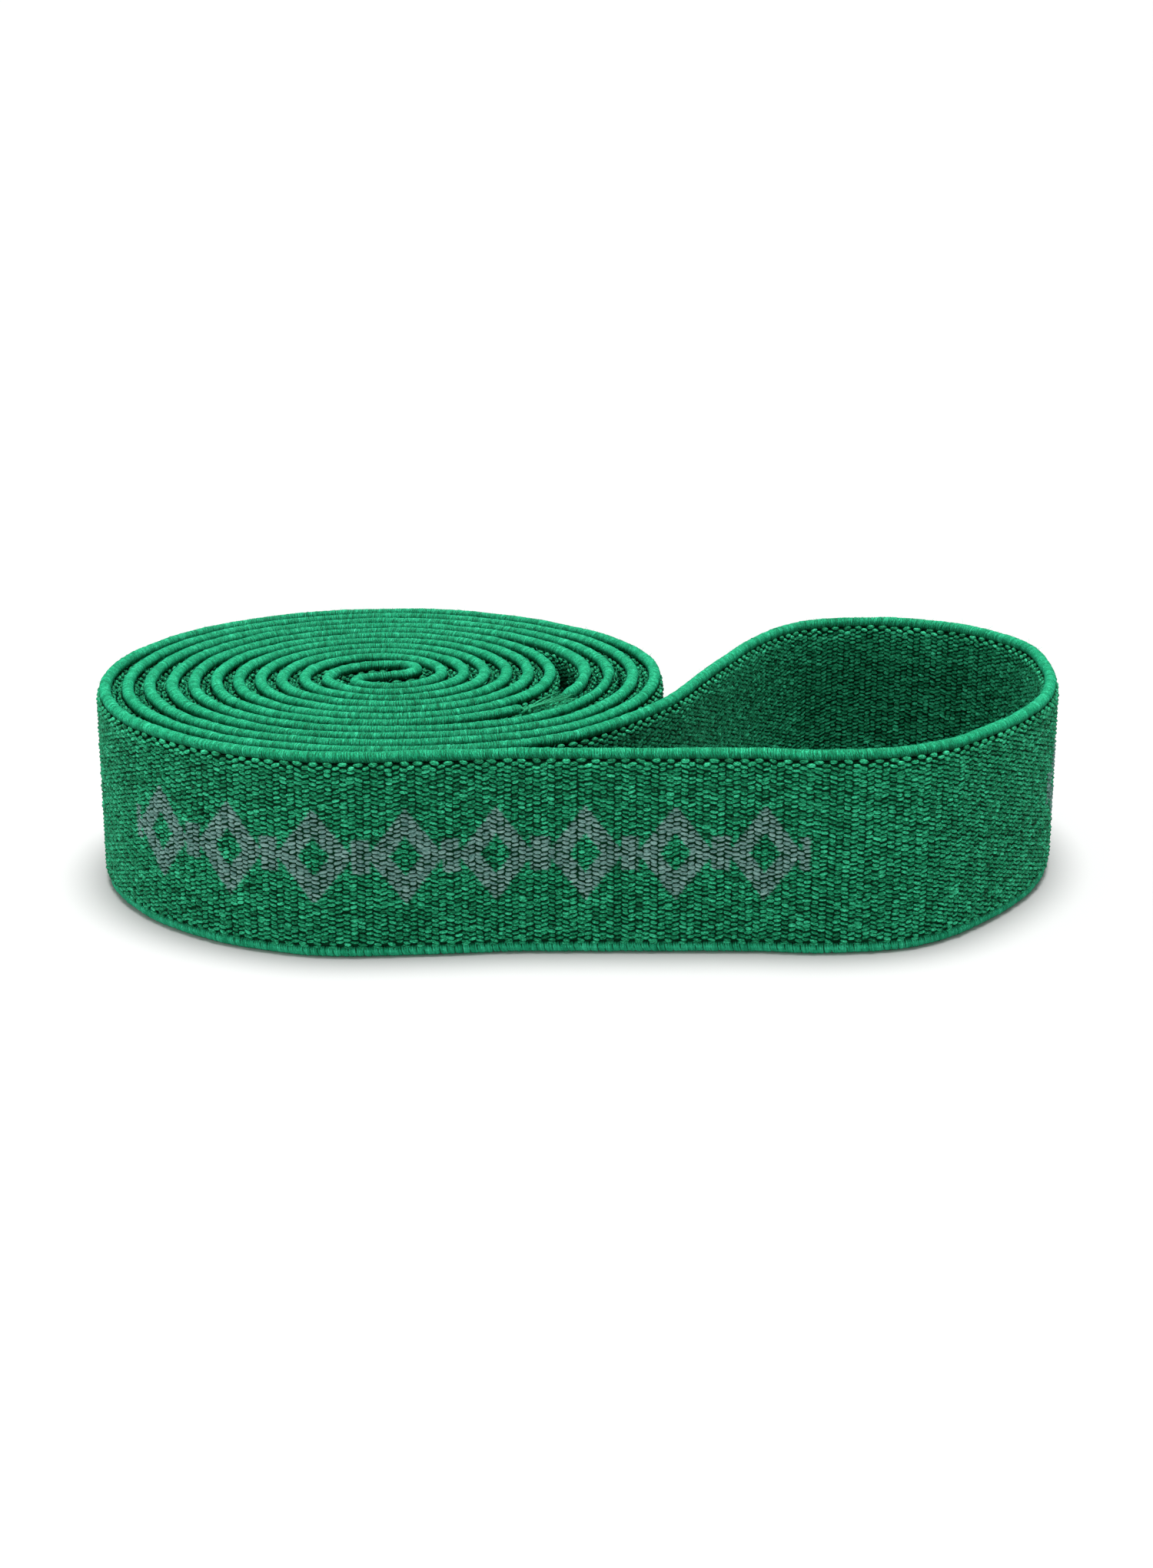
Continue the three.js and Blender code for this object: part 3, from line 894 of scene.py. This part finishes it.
def stitch_row(number, kind, leg, side, turn):
    """One zigzag row of lockstitch, dipping into the weave at each corner."""
    middle = strap.at_angle(leg, turn)
    t = np.linspace(0, ZIGZAGS, STITCH_SAMPLES * ZIGZAGS + 1)
    sway = ZIGZAG_REACH * (1 - 2 * np.abs((t + 1) % 2 - 1))
    offset = side * (STITCH_OFFSET + STITCH_DIP * (np.sin(math.pi * (t % 1)) - 0.5))
    path = strap.place(middle + sway, offset, STITCH_LOW + (STITCH_HIGH - STITCH_LOW) * t / ZIGZAGS)
    points, faces, attributes = tube(path, STITCH_RADIUS)
    name = f"seam_row_{number}_{kind}_thread"
    return piece(f"{name}_yarn", points, faces, THREAD, [name], attributes)


def plan(angle, radius, z):
    return np.array([*polar(angle, radius), z])


KNOT = plan(-40.3, 29.7, 30.0)
KNOT_SCALE = (0.26, 0.26, 0.3)
KNOT_SAMPLES = 72
KNOT_YARN_RADIUS, KNOT_YARN_SIDES = 0.24, 8


def knot():
    """The overhand knot that ends the tail bead's yarn, a closed trefoil."""
    t = np.linspace(0, 2 * math.pi, KNOT_SAMPLES)
    x = np.sin(t) + 2 * np.sin(2 * t)
    y = np.cos(t) - 2 * np.cos(2 * t)
    path = KNOT + np.stack([x, y, -np.sin(3 * t)], axis=-1) * KNOT_SCALE
    points, faces, attributes = tube(path, KNOT_YARN_RADIUS, KNOT_YARN_SIDES)
    return piece("seam_knot_yarn", points, faces, THREAD, ["seam_knot"], attributes)


# Where each tuft of loose ends comes to rest: turning angle, radius and height
LOOSE_ENDS = [(-20.5, 29.9, 30.4), (-22.5, 30.8, 30.5), (-24.0, 32.2, 30.6), (-27.0, 33.4, 30.9)]
LOOSE_STRANDS, LOOSE_SAMPLES, LOOSE_SIDES = 3, 14, 5
LOOSE_RADIUS, LOOSE_TAPER = 0.11, 0.6
LOOSE_END_SPREAD, LOOSE_BEND_SPREAD = (0.5, 0.5, 0.12), (0.35, 0.35, 0.1)
LOOSE_ARCH = (0, 0, 0.25)
RIPPLE_SIZE, RIPPLE_PACE, RIPPLE_START = 0.05, (10, 20), (0, 6)


def loose_thread(number, end):
    """A few strands fanned from the knot over the lap."""
    strands = []
    t = np.linspace(0, 1, LOOSE_SAMPLES)[:, None]
    radii = np.linspace(LOOSE_RADIUS, LOOSE_TAPER * LOOSE_RADIUS, LOOSE_SAMPLES)
    for _ in range(LOOSE_STRANDS):
        stop = plan(*end) + rng.normal(0, LOOSE_END_SPREAD)
        middle = (KNOT + stop) / 2 + rng.normal(0, LOOSE_BEND_SPREAD) + LOOSE_ARCH
        path = KNOT * (1 - t) ** 2 + 2 * middle * t * (1 - t) + stop * t**2
        ripple = np.sin(t * rng.uniform(*RIPPLE_PACE) + rng.uniform(*RIPPLE_START))
        path = path + RIPPLE_SIZE * ripple * rng.normal(0, 1, 3)
        strands.append(tube(path, radii, LOOSE_SIDES))
    points, faces, attributes = merged(strands)
    name = f"loose_thread_{number}"
    return piece(f"{name}_strands", points, faces, THREAD, [name], attributes)


HAIR_STATIONS = np.array([0, 0.35, 0.7, 1.0])
HAIR_SIDES = 3
HAIR_CURL = 0.45
HAIR_TONE = (0.15, 0.1)


def hairs(roots, directions, lengths, radius, curl_size=HAIR_CURL):
    """Points, faces and attributes of fine curved fibres."""
    n = len(roots)
    directions = directions / np.linalg.norm(directions, axis=1)[:, None]
    curl = rng.normal(0, curl_size, (n, 3))
    across = np.cross(directions, rng.normal(0, 1, (n, 3)))
    across /= np.linalg.norm(across, axis=1)[:, None]
    other = np.cross(directions, across)
    t = HAIR_STATIONS[None, :, None]
    theta = np.arange(HAIR_SIDES) * 2 * math.pi / HAIR_SIDES
    course = t * directions[:, None] + t**2 * curl[:, None]
    path = roots[:, None] + lengths[:, None, None] * course
    ring = np.cos(theta)[:, None] * across[:, None] + np.sin(theta)[:, None] * other[:, None]
    points = path[:, :, None] + radius * ring[:, None]
    each = len(HAIR_STATIONS) * HAIR_SIDES
    start = (np.arange(n) * each)[:, None, None]
    one_hair = tube_faces(len(HAIR_STATIONS), HAIR_SIDES)
    faces = [(f[None] + start).reshape(-1, f.shape[1]) for f in one_hair]
    count = n * each
    attributes = {
        "strand": np.zeros((count, 3)),
        "painted_shade": np.ones(count),
        "tone": np.repeat(rng.normal(*HAIR_TONE, n), each),
    }
    return points.reshape(-1, 3), faces, attributes


def strap_directions(s):
    """Plan directions at places on the strap: ahead along it, and out of the endless loop."""
    ahead = strap.place(s + 0.5, 0, 0) - strap.place(s - 0.5, 0, 0)
    out = strap.place(s, 1, 0) - strap.place(s, 0, 0)
    return ahead, out


HAIR_RADIUS = 0.014
BEAD_HAIRS, BEAD_HAIR_LENGTH, BEAD_HAIR_SWEEP = 2600, (0.15, 0.5), 0.8
# Roots of the bead's hairs, just under its surface: reach sideways and up
BEAD_HAIR_ROOTS = (0.95, 0.9)
SEAM_HAIRS, SEAM_HAIR_LENGTH, SEAM_HAIR_LIFT = 160, (0.5, 1.6), 0.6
SEAM_HAIR_TURNS, SEAM_HAIR_RADII, SEAM_HAIR_HEIGHTS = (-42, -14), (28.8, 33.0), (29.0, 29.7)


def bead_hairs():
    """Fine broken fibres standing out of the upper bead."""
    n = BEAD_HAIRS
    s = rng.uniform(BEAD_START, BEAD_END, n)
    theta = rng.uniform(0, math.pi, n)
    ahead, out = strap_directions(s)
    direction = np.cos(theta)[:, None] * out + np.sin(theta)[:, None] * np.array([0, 0, 1.0])
    direction = direction + ahead * rng.normal(0, BEAD_HAIR_SWEEP, n)[:, None]
    sideways, up = BEAD_HAIR_ROOTS
    roots = strap.place(s, sideways * np.cos(theta), UPPER_BEAD_MIDDLE + up * np.sin(theta))
    return hairs(roots, direction, rng.uniform(*BEAD_HAIR_LENGTH, n), HAIR_RADIUS)


def seam_hairs():
    """More of them over the lap seam."""
    n = SEAM_HAIRS
    turn, radius = rng.uniform(*SEAM_HAIR_TURNS, n), rng.uniform(*SEAM_HAIR_RADII, n)
    height = rng.uniform(*SEAM_HAIR_HEIGHTS, n)
    roots = np.concatenate([polar(turn, radius), height[:, None]], axis=1)
    direction = rng.normal(0, 1, (n, 3)) + (0, 0, SEAM_HAIR_LIFT)
    return hairs(roots, direction, rng.uniform(*SEAM_HAIR_LENGTH, n), HAIR_RADIUS)


def fuzz():
    points, faces, attributes = merged([bead_hairs(), seam_hairs()])
    return piece("stray_fibres", points, faces, BEAD, [], attributes)


SHOULDER_FIBRES = 5000
SHOULDER_RADIUS = 0.055
SHOULDER_OFFSETS, SHOULDER_LENGTH = (0.8, 1.55), (0.25, 0.6)
SHOULDER_TOP, SHOULDER_SLOPE, SHOULDER_LIFT_SPREAD = 30.2, 0.7, 0.12
SHOULDER_LEAN_SPREAD, SHOULDER_CURL = 0.3, 0.25


def shoulder_fibres(face):
    """Short loose ends of yarn between the upper bead and the floats below it, inside the roll."""
    side, (first, last) = (1, VISIBLE_OUTER) if face == "outer" else (-1, VISIBLE_INNER)
    n = SHOULDER_FIBRES
    s = rng.uniform(0, strap.length - (last - first), n)
    s = np.where(s > first, s + last - first, s)
    out = rng.uniform(*SHOULDER_OFFSETS, n)
    height = SHOULDER_TOP - SHOULDER_SLOPE * out + rng.normal(0, SHOULDER_LIFT_SPREAD, n)
    roots = strap.place(s, side * out, height)
    ahead, _ = strap_directions(s)
    direction = ahead * rng.choice([-1, 1], n)[:, None] + rng.normal(0, SHOULDER_LEAN_SPREAD, (n, 3))
    lengths = rng.uniform(*SHOULDER_LENGTH, n)
    points, faces, attributes = hairs(roots, direction, lengths, SHOULDER_RADIUS, SHOULDER_CURL)
    return piece(f"shoulder_fibres_{face}", points, faces, BEAD, [], attributes)


# ---------------------------------------------------------------- the band

# The stretches where each face shows, outside the roll and round the end loop
VISIBLE_OUTER = (strap.at_angle("head", 2085), strap.at_angle("outer", 1735))
VISIBLE_INNER = (strap.at_angle("head", 2065), strap.leg_start("outer") + 8)
OUTER_PIECES, INNER_PIECES = 5, 3
ALL_ROWS = np.arange(ROWS)
EDGE_ROWS = np.array([0, 1, ROWS - 5, ROWS - 4, ROWS - 3, ROWS - 2, ROWS - 1])


def face_floats(face, visible, pieces):
    """Floats over the whole height where a face shows, and only along its edges elsewhere."""
    first, last = visible
    parts = []
    ends = np.linspace(first, last, pieces + 1)
    for number, (a, b) in enumerate(zip(ends, ends[1:]), 1):
        parts.append(weave_piece(f"weave_{face}_floats_{number}", face, a, b, ALL_ROWS, FLOAT_BASE))
    middle = (last + strap.length) / 2
    hidden = [(0, first), (last, middle), (middle, strap.length)]
    for number, (a, b) in enumerate(hidden, 1):
        name = f"weave_{face}_edge_floats_{number}"
        parts.append(weave_piece(name, face, a, b, EDGE_ROWS, CROWDED_BASE))
    return parts


END_MARGIN, BEAD_OVERLAP = 0.5, 1


def band():
    """Every piece of the band, each riding on the band's one body."""
    outer = ground_ply("outer", 1)
    rest = [ground_ply("inner", -1)]
    rest += [rubber_threads(level) for level in RUBBER_LEVELS]
    rest += face_floats("outer", VISIBLE_OUTER, OUTER_PIECES)
    rest += face_floats("inner", VISIBLE_INNER, INNER_PIECES)
    rest += beads()
    head_end, tail_end = END_MARGIN, strap.length - END_MARGIN
    rest.append(raw_edge("weave_head_end_floats", head_end, BEAD_START + BEAD_OVERLAP))
    rest.append(raw_edge("weave_tail_end_floats", BEAD_END - BEAD_OVERLAP, tail_end))
    for number, turn in enumerate(STITCH_TURNS, 1):
        rest.append(stitch_row(number, "needle", "head", -1, turn))
        rest.append(stitch_row(number, "bobbin", "tail", 1, turn))
    rest.append(knot())
    rest += [loose_thread(number, end) for number, end in enumerate(LOOSE_ENDS, 1)]
    rest.append(fuzz())
    rest += [shoulder_fibres(face) for face in ("outer", "inner")]


band()

# ---------------------------------------------------------------- floor, light and camera


# Metres, watts and degrees from here on
FLOOR_REACH = 60.0
FLOOR_COLOUR = linear(191, 191, 191)
ROOM_LIGHT, ROOM_SEEN = 0.37, 1.0
OVERHEAD_POWER, OVERHEAD_SPREAD = 5.1, 28
OVERHEAD_TILT = (-3.5, 1)
LIGHTS_AIM = (0, 0, 0.016)
CAMERA_LENS = 59.73
CAMERA_PLACE = (-0.00071, -0.39669, 0.13793)
CAMERA_PITCH = 17.52
CAMERA_REACH = 200.0


def floor():
    """The white paper that the band stands on."""
    mesh = bpy.data.meshes.new("floor")
    r = FLOOR_REACH
    mesh.from_pydata([(-r, -r, 0), (r, -r, 0), (r, r, 0), (-r, r, 0)], [], [(0, 1, 2, 3)])
    obj = bpy.data.objects.new("floor", mesh)
    bpy.context.scene.collection.objects.link(obj)
    n = Nodes("floor_paper")
    n.shader.inputs["Base Color"].default_value = FLOOR_COLOUR
    n.shader.inputs["Roughness"].default_value = 0.95
    n.shader.inputs["Specular IOR Level"].default_value = 0.1
    mesh.materials.append(n.material)


def room():
    """Soft light from everywhere, which looks as white as the floor where it shows past its edge."""
    world = bpy.data.worlds.new("studio")
    world.use_nodes = True
    tree = world.node_tree
    background = tree.nodes["Background"]
    background.inputs["Color"].default_value = (1, 1, 1, 1)
    seen = tree.nodes.new("ShaderNodeLightPath").outputs["Is Camera Ray"]
    strength = tree.nodes.new("ShaderNodeMapRange")
    strength.inputs["To Min"].default_value = ROOM_LIGHT
    strength.inputs["To Max"].default_value = ROOM_SEEN
    tree.links.new(seen, strength.inputs["Value"])
    tree.links.new(strength.outputs["Result"], background.inputs["Strength"])
    bpy.context.scene.world = world
    bpy.context.scene.view_settings.view_transform = "Standard"


def overhead_light():
    """A broad soft light above."""
    data = bpy.data.lights.new("overhead", "SUN")
    data.energy = OVERHEAD_POWER
    data.angle = math.radians(OVERHEAD_SPREAD)
    obj = bpy.data.objects.new("overhead", data)
    obj.rotation_euler = (*(math.radians(angle) for angle in OVERHEAD_TILT), 0)
    bpy.context.scene.collection.objects.link(obj)


def area_light(name, place, size, power):
    """A softbox aimed at the band."""
    data = bpy.data.lights.new(name, "AREA")
    data.shape = "RECTANGLE"
    data.size, data.size_y = size
    data.energy = power
    obj = bpy.data.objects.new(name, data)
    bpy.context.scene.collection.objects.link(obj)
    obj.location = place
    away = np.array(place) - np.array(LIGHTS_AIM)
    tilt = math.atan2(math.hypot(away[0], away[1]), away[2])
    turn = math.atan2(away[1], away[0]) + math.pi / 2
    obj.rotation_euler = (tilt, 0, turn)


def camera():
    data = bpy.data.cameras.new("camera")
    data.lens = CAMERA_LENS
    data.clip_end = CAMERA_REACH
    obj = bpy.data.objects.new("camera", data)
    bpy.context.scene.collection.objects.link(obj)
    obj.location = CAMERA_PLACE
    obj.rotation_euler = (math.radians(90 - CAMERA_PITCH), 0, 0)
    bpy.context.scene.camera = obj


floor()
room()
overhead_light()
area_light("left", (-1.2, 0.0, 0.3), (0.5, 0.5), 2.5)
area_light("front", (-0.2, -1.5, 0.1), (0.6, 0.2), 9.4)
camera()
